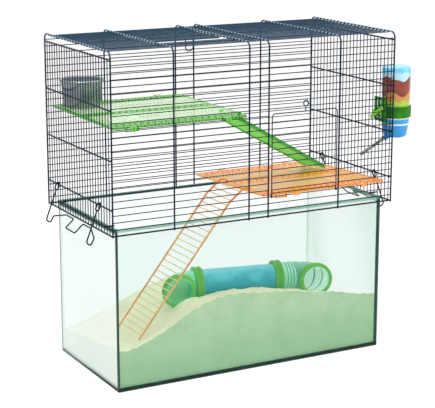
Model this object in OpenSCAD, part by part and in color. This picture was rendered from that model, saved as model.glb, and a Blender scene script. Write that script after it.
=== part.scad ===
// Two-storey rodent cage: a frameless glass tank with sand, topped by a lift-off wire cage.
// Millimetres. X runs left to right, Y front to back, Z up.
// The origin is the middle of the tank's underside.

/* [Tank] */
// Length of the glass tank, left to right
tank_l = 600; // [560:5:720]
// Depth of the glass tank, front to back
tank_d = 285; // [265:5:360]
// Height of the glass tank
tank_h = 325; // [310:5:380]
// Thickness of the glass plates
glass_t = 5; // [4:0.5:8]
// Thickness of the silicone between two plates
seam_t = 1; // [0.5:0.1:2]

/* [Sand] */
// Depth of the sand at the left end of the front glass
sand_front_low = 82; // [50:1:90]
// Rise of the sand along the front glass
sand_front_rise = 81; // [50:1:85]
// Depth of the sand at the left end of the back glass
sand_back_low = 44; // [30:1:60]
// Rise of the sand along the back glass
sand_back_rise = 92; // [50:1:95]
// Depth of the hollow between the front and back heaps
sand_dip = 30; // [15:1:40]
// Spacing of the points on the sand's surface
sand_step = 14; // [10:1:24]

/* [Play tubes] */
// Outer diameter of the tubes
tube_d = 58; // [48:1:60]
// Wall of the tubes
tube_wall = 2; // [1.5:0.1:3]
// Length of the straight tube
tube_l = 174; // [140:1:200]
// Bend radius of the elbow and of the ribbed bend
tube_bend_r = 36; // [34:1:44]
// Straight part of the elbow
elbow_lead = 13.5; // [12:0.5:18]
// Straight part of the ribbed bend
ribbed_lead = 38; // [20:1:45]
// Outer diameter of the rings
ring_d = 72; // [68:1:76]
// Length of a joint ring
ring_l = 18; // [12:1:22]
// Length of a mouth ring
mouth_l = 12; // [9:1:16]
// Number of ribs on the ribbed bend
tube_ribs = 7; // [4:1:9]
// Height of the tubes' axis above the floor
tube_z = 142; // [135:1:150]
// Turn of the tube run seen from above
tube_turn = -11.6; // [-14:0.2:-4]

/* [Wire cage] */
// Gap from the tank's end to the cage's hoops
side_gap = 14; // [12:0.5:22]
// Gap from the tank's front to the cage's hoops
front_gap = 16; // [13:0.5:24]
// How far the cage hangs below the rim of the tank
cage_drop = 10; // [6:1:14]
// Height of the wire cage
cage_h = 352; // [335:1:420]
// Diameter of the hoops and rails
hoop_d = 3.2; // [2.8:0.1:4]
// Diameter of the thin wires
wire_d = 1.8; // [1.4:0.1:2.2]
// Spacing of the thin wires on the front, roof and back
wire_pitch = 13.5; // [12.5:0.1:14.5]
// Spacing of the upright wires on the ends
end_pitch = 12.7; // [12:0.1:14]
// Bend radius of the hoops along the roof's edges
hoop_bend = 12; // [9:0.5:18]
// Spacing of the middle pair of hoops
pair_gap = 43.4; // [36:0.2:50]
// Spacing of the hoops beside a door
bay_w = 163.3; // [150:0.1:175]

/* [Doors and bails] */
// Diameter of the door frames
door_d = 2.2; // [1.8:0.1:2.6]
// Gap between a door frame and the hoop beside it
door_gap = 6.5; // [5.5:0.1:9]
// Shift of the front door towards the bottle's end
door_shift = 2.5; // [0:0.1:3]
// Corner radius of the door frames
door_corner = 7; // [5:0.5:12]
// Radius of the curl of the front door's latch
latch_r = 5.5; // [4:0.1:7]
// Length of the roof door's latch
roof_latch = 22; // [16:1:28]
// Diameter of the bails' wire
bail_d = 3; // [2.4:0.1:3.4]
// Spacing of the two eyes of a bail
bail_w = 198; // [170:1:215]
// Distance that a bail's legs stand out at the bottom
bail_out = 27; // [22:1:34]
// Distance from a bail's hinge down to its lowest bend
bail_drop = 76; // [72:1:90]

/* [Shelves] */
// Length of each shelf
shelf_l = 290; // [270:1:294]
// Thickness of each shelf's edge
shelf_t = 4; // [3:0.5:8]
// Thickness of the lattice inside that edge
shelf_web = 1.6; // [1.4:0.1:2.5]
// Width of the solid edge and cross bars of a shelf
shelf_bar = 5; // [4:0.5:7]
// Spacing of the diamond holes
lattice_pitch = 13; // [12:0.5:16]
// Spacing of the slots
slot_pitch = 8; // [7:0.5:12]
// Gap from the shelves' ends to the cage's hoops
shelf_end_gap = 7; // [6:0.5:12]
// Gap from the shelves' long edges to the cage's hoops
shelf_edge_gap = 12.5; // [11:0.5:16]

/* [Ramp and ladder] */
// Width of the ramp
ramp_w = 52; // [44:1:60]
// Level distance from the ramp's hooks to its foot
ramp_run = 341; // [325:1:350]
// Turn of the ramp seen from above
ramp_turn = 28.5; // [25:0.5:30]
// Spacing of the ramp's treads
tread_pitch = 13; // [10:0.5:18]
// Width of the ladder, between its rails' middles
ladder_w = 97; // [80:1:104]
// Level distance from the ladder's bend to its foot
ladder_run = 205; // [180:1:210]
// Diameter of the ladder's rails
rail_d = 3; // [2.6:0.1:4]
// Diameter of the ladder's rungs
rung_d = 2.2; // [1.6:0.1:2.8]
// Spacing of the ladder's rungs
rung_pitch = 13; // [10:0.5:18]

/* [Bowl and drink bottle] */
// Diameter of the bowl's rim
bowl_d = 90; // [70:1:96]
// Height of the bowl
bowl_h = 56; // [40:1:62]
// Wall of the bowl
bowl_wall = 1.5; // [1:0.1:2.5]
// Widest diameter of the bottle
bottle_d = 60; // [54:1:64]
// Height of the bottle above its cup cap
bottle_h = 118; // [100:1:130]
// Wall of the bottle
bottle_wall = 1.6; // [1.2:0.1:2.2]
// Height of the cup cap
cup_h = 26; // [22:1:34]
// Outer diameter of the spout tube
spout_d = 7; // [6:0.1:9]
// Height of the holder's belt
belt_h = 24; // [20:1:30]

/* [Hidden] */
$fn = 48;

// Clearances
fit = 0.3;
loose = 0.5;
weld = 0.25;
touch = 0.1;

// Tank
in_l = tank_l - 2 * glass_t;
in_d = tank_d - 2 * glass_t;
wall_z = glass_t + seam_t;

// Wire cage
hx = tank_l / 2 + side_gap;
hy = tank_d / 2 + front_gap;
hoop_r = hoop_d / 2;
wire_r = wire_d / 2;
cage_z = tank_h - cage_drop;
roof_z = cage_z + cage_h - hoop_r;
wire_in = hoop_r + wire_r - weld;
wire_over = 1;
door_hoop_x = pair_gap / 2 + bay_w;
hoop_xs = [-hx, -door_hoop_x, -pair_gap / 2, pair_gap / 2, door_hoop_x, hx];
rest_z = tank_h + touch + hoop_r;
row_0 = rest_z + hoop_r + touch + wire_r;
rows = floor((roof_z - hoop_bend - row_0) / wire_pitch);
roof_rows = floor((hy - hoop_bend) / wire_pitch);
end_wires = floor((hy - hoop_d) / end_pitch);
rail_rows = 7;
rail_0 = row_0 + 2.74 * wire_pitch;
end_rails = floor((roof_z - hoop_d - rail_0) / (rail_rows * wire_pitch));
bottom_z = cage_z + hoop_d * 0.6;
function row_z(i) = row_0 + i * wire_pitch;
function rail_z(i) = rail_0 + i * rail_rows * wire_pitch;

// Doors: rows counted up from the lowest thin wire
hinge_row = 2;
door_rows = 12;
roof_hinge_row = 6;
loop_r = wire_r + fit + door_d / 2;
front_door_x = [pair_gap / 2 + door_gap + door_shift, door_hoop_x - door_gap + door_shift];
roof_door_x = [-door_hoop_x + door_gap, -pair_gap / 2 - door_gap];
front_wire_y = -hy + wire_in;
roof_wire_z = roof_z - wire_in;

// Shelves
upper_row = 14;
lower_front_row = 2;
lower_back_row = 1;
shelf_d = 2 * (hy - shelf_edge_gap);
upper_x0 = -hx + shelf_end_gap;
upper_x1 = upper_x0 + shelf_l;
lower_x1 = hx - shelf_end_gap;
lower_x0 = lower_x1 - shelf_l;
slot_share = 0.64;
web_drop = 0.3;
tab_t = 2.4;
tab_w = 12;
tab_lip = 4;
seat = wire_r + fit;
upper_top = row_z(upper_row) + seat + tab_t;
lower_span = 2 * (hy - wire_in);
lower_tilt = atan((lower_front_row - lower_back_row) * wire_pitch / lower_span);
lower_mid = (row_z(lower_front_row) + row_z(lower_back_row)) / 2 + (seat + tab_t) / cos(lower_tilt);
function lower_top(y) = lower_mid - y * tan(lower_tilt);

// Ramp: hung by two pegs in slots of the upper shelf
peg_d = 5;
peg_head_d = 9;
peg_slot = [10, peg_d + 2 * fit];
peg_pad = 6;
ramp_hang = [upper_x1 - 18, -105];
ramp_t = 1.6;
ramp_side = [3.5, 7];
ramp_tread = 2.4;
ramp_top = upper_top - shelf_t - 3;
ramp_end = ramp_hang + ramp_run * [cos(ramp_turn), sin(ramp_turn)];
ramp_foot_z = lower_top(ramp_end.y - ramp_w / 2) + loose;
ramp_slope = atan((ramp_top - ramp_side.y - ramp_foot_z) / ramp_run);
ramp_l = ramp_run / cos(ramp_slope);
pegs = [for (s = [-1, 1]) ramp_hang + s * ramp_w * 0.4 * [-sin(ramp_turn), cos(ramp_turn)]];

// Ladder: hooked over the left edge of the lower shelf
ladder_y = -26;
hook_x = lower_x0 + 11;
hook_z = lower_top(ladder_y - ladder_w / 2) + rail_d / 2 + fit;
hook_slot = [9, 10];
top_rung_x = hook_x - 5;
ladder_bend = [lower_x0 - 36, hook_z - 25];
ladder_foot_x = ladder_bend.x - ladder_run;
sand_clear = 0.6;

// Sand
function smooth(t) = let (c = min(1, max(0, t))) c * c * (3 - 2 * c);
function sand_edge(x, low, rise, x0, w, fall) =
    low + rise * smooth((x - x0) / w) - fall * smooth((x - x0 - w) / (in_l / 2 - x0 - w));
function sand_front(x) = sand_edge(x, sand_front_low, sand_front_rise, -in_l * 0.49, in_l * 0.39, 49);
function sand_back(x) = sand_edge(x, sand_back_low, sand_back_rise, -in_l * 0.585, in_l * 0.6, 18);
function sand_open(x, y) =
    let (t = y / in_d + 0.5)
    (1 - t) * sand_front(x) + t * sand_back(x) - sand_dip * sin(180 * t) * smooth((x / in_l + 0.5) * 8);

// Play tubes, in a frame of their own: u along the straight tube, v to the back
tube_at = [40.5, 2.5];
tube_r = tube_d / 2;
left_u = -tube_l / 2 - touch - elbow_lead;
right_u = tube_l / 2 + touch + ribbed_lead;
groove_r = ring_d / 2 + sand_clear;
function to_tube(x, y) =
    let (a = x - tube_at.x, b = y - tube_at.y)
    [a * cos(tube_turn) + b * sin(tube_turn), b * cos(tube_turn) - a * sin(tube_turn)];
function tube_off(p) =
    let (b = tube_bend_r, u = p.x < left_u ? left_u - p.x : p.x - right_u)
    u < 0 ? abs(p.y) : p.y > -b ? abs(norm([u, p.y + b]) - b)
        : p.y > -b - mouth_l - sand_step ? abs(u - b) : groove_r;
function tube_floor(x, y) =
    let (d = max(0, tube_off(to_tube(x, y)) - sand_step / 2))
    d < groove_r ? tube_z - sqrt(groove_r * groove_r - d * d) : tube_z;
function sand_top(x, y) = min(sand_open(x, y), tube_floor(x, y));
ladder_foot_z = max([for (s = [-1:0.25:1], a = [-3, 0, 3])
    sand_top(ladder_foot_x + a, ladder_y + s * ladder_w / 2)]) + rail_d / 2 + sand_clear;

// Bowl
bowl_at = [upper_x0 + bowl_d / 2 + 2, hy - shelf_edge_gap - bowl_d / 2];
bowl_foot = 0.9;
bowl_lip = 3;

// Drink bottle
bottle_slot = -8.5;
bottle_x = hx + 42;
bottle_y = bottle_slot * end_pitch;
cup_z = rail_z(1) - 20;
seal_t = 3;
bottle_z = cup_z + cup_h + seal_t;
neck_r = bottle_d / 2 - 1.3;
shoulder = 6;
shoulder_in = 4;
belt_z = bottle_z + 12.5;
belt_t = 3;
cup_top_r = neck_r - 0.5;
cup_low_r = neck_r - 4.5;
function bottle_r(z) = neck_r + (bottle_d / 2 - neck_r) * z / (bottle_h - shoulder);
spout_bore = spout_d - 1.6;
spout_dip = 26.5;
spout_l = 87;
nozzle_l = 23;
nozzle_d = spout_d + 5;
spout_lip = 0.6;
spout_top = [bottle_x - 6, bottle_y, cup_z + 7.5];
spout_dir = [-cos(spout_dip), 0, -sin(spout_dip)];
ball_d = spout_bore - 2 * fit;
ball_seat = ball_d * 0.8;

navy = [0.13, 0.16, 0.24];
glass_tint = [0.8, 0.95, 0.9, 0.35];
leaf = [0.27, 0.68, 0.17];
lime = [0.37, 0.74, 0.2];
tangerine = [0.94, 0.56, 0.2];

// A straight wire between two points
module rod(a, b, d) {
    v = b - a;
    translate(a) rotate([0, acos(v.z / norm(v)), atan2(v.y, v.x)]) cylinder(d = d, h = norm(v));
}

function unit(v) = v / norm(v);
// Points along the round bend at p, between a and b, with small turns from each to the next
function bend_points(a, p, b, r) =
    let (u = unit(p - a), v = unit(b - p), turn = acos(u * v), n = ceil(turn / 28),
        centre = p + r / cos(turn / 2) * unit(v - u), out = (p - r * tan(turn / 2) * u - centre) / r)
    n < 2 ? [p] : [for (k = [0:n]) centre + r * (cos(turn * k / n) * out + sin(turn * k / n) * u)];
// The ball at a turn, with its poles clear of both runs
module turn_ball(before, at, after, d) {
    u = unit(at - before);
    v = unit(after - at);
    x = unit(u - v);
    z = unit(cross(u, v));
    y = cross(z, x);
    multmatrix([[x.x, y.x, z.x, at.x], [x.y, y.y, z.y, at.y], [x.z, y.z, z.z, at.z], [0, 0, 0, 1]])
        sphere(d = d);
}
// A bent wire: short straight runs with a small ball at each turn
module bent_wire(points, d, bend) {
    last = len(points) - 1;
    path = concat([points[0]],
        [for (i = [1:last - 1]) each bend_points(points[i - 1], points[i], points[i + 1], bend)],
        [points[last]]);
    for (i = [0:len(path) - 2])
        rod(path[i], path[i + 1], d);
    for (i = [1:len(path) - 2])
        turn_ball(path[i - 1], path[i], path[i + 1], d * 1.06);
}

module wire_x(x0, x1, y, z, d) translate([x0, y, z]) rotate([0, 90, 0]) cylinder(d = d, h = x1 - x0);
module wire_y(x, y0, y1, z, d) translate([x, y0, z]) rotate([-90, 0, 0]) cylinder(d = d, h = y1 - y0);

// Glass plates: front and back run the full length, the ends stand between them
module long_plate(y) translate([-tank_l / 2, y, wall_z]) cube([tank_l, glass_t, tank_h - wall_z]);
module end_plate(x)
    translate([x, -in_d / 2 + seam_t, wall_z]) cube([glass_t, in_d - 2 * seam_t, tank_h - wall_z]);
module base_glass()
    color(glass_tint) translate([-tank_l / 2, -tank_d / 2, 0]) cube([tank_l, tank_d, glass_t]);
module front_glass() color(glass_tint) long_plate(-tank_d / 2);
module back_glass() color(glass_tint) long_plate(tank_d / 2 - glass_t);
module left_glass() color(glass_tint) end_plate(-tank_l / 2);
module right_glass() color(glass_tint) end_plate(tank_l / 2 - glass_t);
module corner_seams()
    color([0.2, 0.4, 0.33]) for (sx = [-1, 1], sy = [-1, 1])
        translate([sx * (tank_l - glass_t) / 2 - glass_t / 2, sy * (in_d - seam_t) / 2 - seam_t / 2, wall_z])
            cube([glass_t, seam_t, tank_h - wall_z]);
module base_seam()
    color([0.2, 0.4, 0.33]) translate([0, 0, glass_t]) linear_extrude(seam_t) difference() {
        square([tank_l, tank_d], center = true);
        square([in_l, in_d], center = true);
    }

// Sand: a closed body with a rolling top, hollowed where the tubes lie
module sand_bed() {
    nx = ceil((in_l - 2 * fit) / sand_step);
    ny = ceil((in_d - 2 * fit) / sand_step);
    sx = (in_l - 2 * fit) / nx;
    sy = (in_d - 2 * fit) / ny;
    top = [for (j = [0:ny], i = [0:nx])
        let (x = -in_l / 2 + fit + i * sx, y = -in_d / 2 + fit + j * sy) [x, y, sand_top(x, y)]];
    low = [for (j = [0, ny], i = [0:nx])
        [-in_l / 2 + fit + i * sx, -in_d / 2 + fit + j * sy, glass_t]];
    row = nx + 1;
    lf = len(top);
    lb = lf + row;
    tb = ny * row;
    tiles = [for (j = [0:ny - 1], i = [0:nx - 1], h = [0, 1])
        let (a = j * row + i)
        h == 0 ? [a, a + row, a + row + 1] : [a, a + row + 1, a + 1]];
    front = [for (i = [0:nx - 1]) [lf + i, i, i + 1, lf + i + 1]];
    back = [for (i = [0:nx - 1]) [lb + i, lb + i + 1, tb + i + 1, tb + i]];
    base = [for (i = [0:nx - 1]) [lf + i + 1, lb + i + 1, lb + i, lf + i]];
    left = concat([lf, lb], [for (j = [ny:-1:0]) j * row]);
    right = concat([lf + nx], [for (j = [0:ny]) j * row + nx], [lb + nx]);
    faces = concat(tiles, front, back, base, [left, right]);
    color([0.88, 0.86, 0.74]) polyhedron(concat(top, low), faces);
}

// Play tubes
module tube_frame() translate([tube_at.x, tube_at.y, tube_z]) rotate(tube_turn) children();
module tube_wall_2d()
    difference() {
        circle(d = tube_d);
        circle(d = tube_d - 2 * tube_wall);
    }
// A quarter bend that starts along +X at the origin and ends towards -Y
module quarter_bend()
    translate([0, -tube_bend_r, 0]) rotate_extrude(angle = 90) translate([tube_bend_r, 0]) tube_wall_2d();
module ring(l)
    rotate_extrude() difference() {
        polygon([[0, 0], [ring_d / 2 - 3, 0], [ring_d / 2, 3], [ring_d / 2, l - 3], [ring_d / 2 - 3, l],
            [0, l]]);
        translate([-1, -1]) square([tube_r + touch + 1, l + 2]);
    }
module straight_tube()
    color([0.27, 0.7, 0.78, 0.6]) tube_frame() translate([-tube_l / 2, 0, 0]) rotate([0, 90, 0])
        linear_extrude(tube_l) tube_wall_2d();
// A straight lead, a quarter bend and a short mouth
module bent_tube(lead) {
    translate([-lead, 0, 0]) rotate([0, 90, 0]) linear_extrude(lead) tube_wall_2d();
    quarter_bend();
    translate([tube_bend_r, -tube_bend_r, 0]) rotate([90, 0, 0]) linear_extrude(mouth_l) tube_wall_2d();
}
module tube_rib() rotate_extrude() translate([tube_r, 0]) circle(d = 2.4);
module elbow_tube()
    color([0.2, 0.75, 0.5, 0.6]) tube_frame() translate([left_u, 0, 0]) mirror([1, 0, 0])
        bent_tube(elbow_lead);
module ribbed_bend() {
    rib_pitch = tube_bend_r * 84 / (tube_ribs + 1) * PI / 180;
    free = ribbed_lead - ring_l / 2 - 3;
    color([0.3, 0.8, 0.6, 0.6]) tube_frame() translate([right_u, 0, 0]) {
        bent_tube(ribbed_lead);
        for (i = [0:floor(free / rib_pitch)])
            translate([-i * rib_pitch, 0, 0]) rotate([0, 90, 0]) tube_rib();
        for (i = [1:tube_ribs])
            translate([0, -tube_bend_r, 0]) rotate(90 - 84 * i / (tube_ribs + 1))
                translate([tube_bend_r, 0, 0]) rotate([90, 0, 0]) tube_rib();
    }
}
module joint_ring(u)
    color(lime) tube_frame() translate([u - ring_l / 2, 0, 0]) rotate([0, 90, 0]) ring(ring_l);
module mouth_ring(u)
    color(lime) tube_frame() translate([u, -tube_bend_r - touch, 0]) rotate([90, 0, 0]) ring(mouth_l);
module left_joint_ring() joint_ring(-tube_l / 2);
module right_joint_ring() joint_ring(tube_l / 2);
module left_mouth_ring() mouth_ring(left_u - tube_bend_r);
module right_mouth_ring() mouth_ring(right_u + tube_bend_r);

// Wire panels: thick hoops outside, thin wires welded on their inner side
module long_grille(side, gap_rows) {
    y = side * hy;
    thin_y = side * (hy - wire_in);
    for (x = hoop_xs)
        translate([x, y, cage_z]) cylinder(d = hoop_d, h = roof_z - hoop_bend - cage_z);
    wire_x(-hx - wire_over, hx + wire_over, side * (hy - hoop_d + weld), bottom_z, hoop_d);
    for (i = [0:rows])
        if (len(search(i, gap_rows)) > 0) {
            wire_x(-hx - wire_over, pair_gap / 2 + wire_over, thin_y, row_z(i), wire_d);
            wire_x(door_hoop_x - wire_over, hx + wire_over, thin_y, row_z(i), wire_d);
        } else
            wire_x(-hx - wire_over, hx + wire_over, thin_y, row_z(i), wire_d);
}
module front_grille() color(navy) long_grille(-1, [for (i = [1:door_rows]) hinge_row + i]);
module back_grille() color(navy) long_grille(1, []);

module roof_grille() {
    run = hy - hoop_bend;
    color(navy) {
        for (x = hoop_xs) {
            wire_y(x, -run, run, roof_z, hoop_d);
            for (s = [-1, 1])
                translate([x, s * run, roof_z - hoop_bend]) rotate([90, 0, s * 90]) rotate_extrude(angle = 90)
                    translate([hoop_bend, 0]) circle(d = hoop_d);
        }
        for (j = [-roof_rows:roof_rows])
            if (abs(j) < roof_hinge_row) {
                wire_x(-hx - wire_over, -door_hoop_x + wire_over, j * wire_pitch, roof_wire_z, wire_d);
                wire_x(-pair_gap / 2 - wire_over, hx + wire_over, j * wire_pitch, roof_wire_z, wire_d);
            } else
                wire_x(-hx - wire_over, hx + wire_over, j * wire_pitch, roof_wire_z, wire_d);
    }
}

module end_grille(side) {
    reach = hy - hoop_r - touch;
    low_reach = reach - hoop_d + weld;
    thin_x = side * (hx - wire_in);
    color(navy) {
        wire_y(side * hx, -low_reach, low_reach, bottom_z, hoop_d);
        for (i = [0:end_rails])
            wire_y(side * hx, -reach, reach, rail_z(i), hoop_d);
        for (j = [-end_wires:end_wires])
            translate([thin_x, j * end_pitch, bottom_z - hoop_r])
                cylinder(d = wire_d, h = rail_z(end_rails) + hoop_d - bottom_z);
    }
}
module left_end_grille() end_grille(-1);
module right_end_grille() end_grille(1);

// Short wires, fixed to the ends' upright wires, that lie on the rims of the end plates
module rim_rests() {
    inner = tank_l / 2 - glass_t - 4;
    outer = hx - wire_in - wire_r - touch;
    color(navy) for (sx = [-1, 1], sy = [-1, 1])
        translate([0, sy * (end_wires - 3) * end_pitch, rest_z]) rotate([0, sx * 90, 0])
            translate([0, 0, inner]) cylinder(d = hoop_d, h = outer - inner);
}

// Doors
module frame_corner(x, z, turn)
    translate([x, 0, z]) rotate([90, turn, 0]) rotate_extrude(angle = 90)
        translate([door_corner, 0]) circle(d = door_d);
module hinge_loop(x)
    translate([x, 0, 0]) rotate([0, 90, 0]) rotate_extrude() translate([loop_r, 0]) circle(d = door_d);
// A door in the XZ plane with its hinge on the X axis, open towards +Z
module wire_door(x0, x1, top, first, last) {
    low = loop_r + 2 * door_d;
    for (x = [x0, x1]) {
        translate([x, 0, loop_r]) cylinder(d = door_d, h = top - door_corner - loop_r);
        hinge_loop(x);
    }
    frame_corner(x0 + door_corner, top - door_corner, -90);
    frame_corner(x1 - door_corner, top - door_corner, 0);
    wire_x(x0 + door_corner, x1 - door_corner, 0, top, door_d);
    wire_x(x0, x1, 0, low, wire_d);
    for (i = [first:last])
        wire_x(x0, x1, 0, i * wire_pitch, wire_d);
}
module front_door() {
    top = door_rows * wire_pitch + 3;
    mid = (front_door_x[0] + front_door_x[1]) / 2;
    out = -(wire_r + door_d / 2 + loose);
    curl_z = top + 3 * latch_r;
    color(navy) translate([0, front_wire_y, row_z(hinge_row)]) {
        wire_door(front_door_x[0], front_door_x[1], top, 1, door_rows - 1);
        bent_wire([[mid, 0, top], [mid, out, top + latch_r], [mid, out, curl_z - latch_r]], door_d * 0.94, 3);
        translate([mid, out, curl_z]) rotate([90, 0, 0]) rotate_extrude()
            translate([latch_r, 0]) circle(d = door_d);
        rod([mid + latch_r, out, curl_z - 1], [mid + 2.6 * latch_r, out, curl_z - latch_r], door_d);
    }
}
module roof_door() {
    top = (2 * roof_hinge_row - 2) * wire_pitch;
    mid = (roof_door_x[0] + roof_door_x[1]) / 2 + latch_r;
    half = 1.5 * latch_r;
    drop = roof_latch - half;
    color(navy) translate([0, roof_hinge_row * wire_pitch, roof_wire_z]) rotate([90, 0, 0]) {
        wire_door(roof_door_x[0], roof_door_x[1], top, 1, 2 * roof_hinge_row - 3);
        for (s = [-1, 1])
            rod([mid + s * half, 0, top], [mid + s * half, -drop, top], door_d);
        translate([mid, -drop, top]) rotate(180) rotate_extrude(angle = 180)
            translate([half, 0]) circle(d = door_d);
    }
}

// Bails: bent wire clips with an eye at each end, hung on the lowest rail of the cage's end
bail_y = end_pitch * 0.5;
bail_eye_y = round(bail_w / 2 / end_pitch) * end_pitch;
eye_r = hoop_r + loose + bail_d / 2;
eye_l = 8;
bail_lean = atan(bail_out / (bail_drop - 5));
module bail_eye() {
    for (t = [0, 180])
        translate([0, 0, t == 0 ? 0 : -eye_l]) rotate([90, t, 0]) rotate_extrude(angle = 180)
            translate([eye_r, 0]) circle(d = bail_d);
    for (s = [-1, 1])
        translate([s * eye_r, 0, -eye_l]) cylinder(d = bail_d, h = eye_l);
}
module bail(side) {
    under = rail_z(0) - bottom_z + hoop_r + bail_d / 2 + 3;
    tab_w = 23;
    leg_d = bail_d * 0.94;
    function at(out, y, down) = [side * (hx + out), bail_y + y, rail_z(0) - down];
    function half(s) = [at(eye_end.x, s * bail_eye_y, eye_end.y),
        at(bail_out, s * bail_eye_y, bail_drop - 5),
        at(bail_out - 8, s * bail_eye_y, bail_drop + 3),
        at(bail_out - 16, s * bail_eye_y, bail_drop - 11),
        at(0, s * (bail_eye_y - 40), under),
        at(0, s * tab_w, under),
        at(18, s * tab_w, under + 16)];
    eye_end = (eye_l + eye_r) * [sin(bail_lean), cos(bail_lean)];
    other = half(1);
    color(navy) {
        for (s = [-1, 1])
            translate(at(0, s * bail_eye_y, 0)) rotate([0, side * -bail_lean, 0]) bail_eye();
        bent_wire(concat(half(-1), [for (i = [len(other) - 1:-1:0]) other[i]]), leg_d, 4);
    }
}
module left_bail() bail(-1);
module right_bail() bail(1);

// Shelves: moulded lattice plates with hooks over the front and back wires
module shelf_outline(l, r) {
    translate([r, 0]) square([l - 2 * r, shelf_d]);
    translate([0, r]) square([l, shelf_d - 2 * r]);
    for (x = [r, l - r], y = [r, shelf_d - r])
        translate([x, y]) circle(r = r);
}
// Five bands from front to back: diamonds, slots, diamonds, slots, diamonds. At one end all are diamonds
module diamond(x, y) translate([x, y]) rotate(45) square(lattice_pitch * 0.66, center = true);
module shelf_holes() {
    clear_l = shelf_l - 2 * shelf_bar;
    strip = 2 * lattice_pitch;
    slot_l = (shelf_d - 6 * shelf_bar - 3 * strip) / 2;
    band = strip + slot_l + 2 * shelf_bar;
    nd = floor(clear_l / lattice_pitch);
    end_n = 6;
    end_rows = floor(slot_l / lattice_pitch);
    ns = floor((clear_l - end_n * lattice_pitch - shelf_bar) / slot_pitch);
    for (b = [0:2], r = [0, 1], i = [0:nd - 1 - r])
        diamond(shelf_l / 2 + (i - (nd - 1 - r) / 2) * lattice_pitch,
            shelf_bar + b * band + (r + 0.5) * lattice_pitch);
    for (b = [0, 1]) {
        slot_y = 2 * shelf_bar + strip + b * band;
        for (i = [0:ns - 1])
            translate([shelf_bar + (i + 0.5 - slot_share / 2) * slot_pitch, slot_y])
                square([slot_pitch * slot_share, slot_l]);
        for (i = [0:end_n - 1], r = [0:end_rows - 1])
            diamond(shelf_l - shelf_bar - (i + 0.5) * lattice_pitch,
                slot_y + slot_l / 2 + (r - (end_rows - 1) / 2) * lattice_pitch);
    }
}
// A hook that lies over a wire of the front or back panel
module shelf_tab(x, side, y_edge, y_wire) {
    over = abs(y_wire - y_edge) + wire_r + fit + 2;
    translate([x - tab_w / 2, y_edge, 0]) {
        translate([0, side > 0 ? -shelf_bar : -over, -tab_t]) cube([tab_w, over + shelf_bar, tab_t]);
        translate([0, side > 0 ? over - 2 : -over, -tab_t - tab_lip]) cube([tab_w, 2, tab_lip + tab_t]);
    }
}
// The small loop that hangs under a shelf's edge
module shelf_clip(x, y) {
    w = 27;
    h = 6.5;
    bar = 2.2;
    translate([x - w / 2, y, -shelf_t - h]) difference() {
        cube([w, shelf_bar, h]);
        translate([bar, -1, bar]) cube([w - 2 * bar, shelf_bar + 2, h]);
    }
}
// A shelf with its top at z = 0, from x = 0, with its middle on the X axis
module shelf(flip, tab_xs, clip_x, slots, slot_size, pad, turn) {
    module at_slots() for (p = slots) translate([p.x, p.y + shelf_d / 2]) rotate(turn) children();
    translate([0, -shelf_d / 2, 0]) {
        translate([0, 0, -web_drop - shelf_web]) linear_extrude(shelf_web) difference() {
            translate([shelf_bar / 2, shelf_bar / 2]) square([shelf_l - shelf_bar, shelf_d - shelf_bar]);
            translate([flip ? shelf_l : 0, 0]) mirror([flip ? 1 : 0, 0]) shelf_holes();
            at_slots() square(slot_size, center = true);
        }
        translate([0, 0, -shelf_t]) linear_extrude(shelf_t) difference() {
            union() {
                difference() {
                    shelf_outline(shelf_l, 8);
                    translate([shelf_bar, shelf_bar])
                        square([shelf_l - 2 * shelf_bar, shelf_d - 2 * shelf_bar]);
                }
                at_slots() square(slot_size + [pad, pad], center = true);
            }
            at_slots() square(slot_size, center = true);
        }
    }
    for (x = tab_xs, s = [-1, 1])
        shelf_tab(x, s, s * shelf_d / 2, s * (hy - wire_in));
    shelf_clip(clip_x, -shelf_d / 2);
}
module upper_shelf()
    color(leaf) translate([upper_x0, 0, upper_top])
        shelf(true, [40, shelf_l - 50], 42, [for (p = pegs) [p.x - upper_x0, p.y]], peg_slot, peg_pad,
            ramp_turn);
module lower_shelf()
    color(tangerine) translate([lower_x0, 0, lower_mid]) rotate([-lower_tilt, 0, 0])
        shelf(false, [70, shelf_l - 60], 42,
            [for (s = [-1, 1]) [hook_x - lower_x0, (ladder_y + s * ladder_w / 2) / cos(lower_tilt)]],
            hook_slot, 10, 0);

// Ramp, sloping down along its own X axis from its two pegs
module ramp() {
    treads = floor(ramp_l / tread_pitch) - 1;
    color(leaf) {
        translate([ramp_hang.x, ramp_hang.y, ramp_top]) rotate(ramp_turn) rotate([0, ramp_slope, 0])
            translate([0, -ramp_w / 2, 0]) {
                translate([0, 0, -ramp_side.y + ramp_t]) cube([ramp_l, ramp_w, ramp_t]);
                for (y = [0, ramp_w - ramp_side.x])
                    translate([0, y, -ramp_side.y]) cube([ramp_l, ramp_side.x, ramp_side.y]);
                translate([0, 0, -ramp_side.y / 2]) rotate([-90, 0, 0])
                    cylinder(d = ramp_side.y - 1, h = ramp_w);
                for (i = [1:treads])
                    translate([i * tread_pitch, 0, -ramp_side.y + ramp_t])
                        cube([ramp_tread, ramp_w, ramp_t + ramp_tread]);
            }
        for (p = pegs) {
            translate([p.x, p.y, ramp_top - 6]) cylinder(d = peg_d, h = upper_top + 2 - ramp_top + 6.5);
            translate([p.x, p.y, upper_top + 2]) cylinder(d = peg_head_d, h = 2);
        }
    }
}

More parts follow.
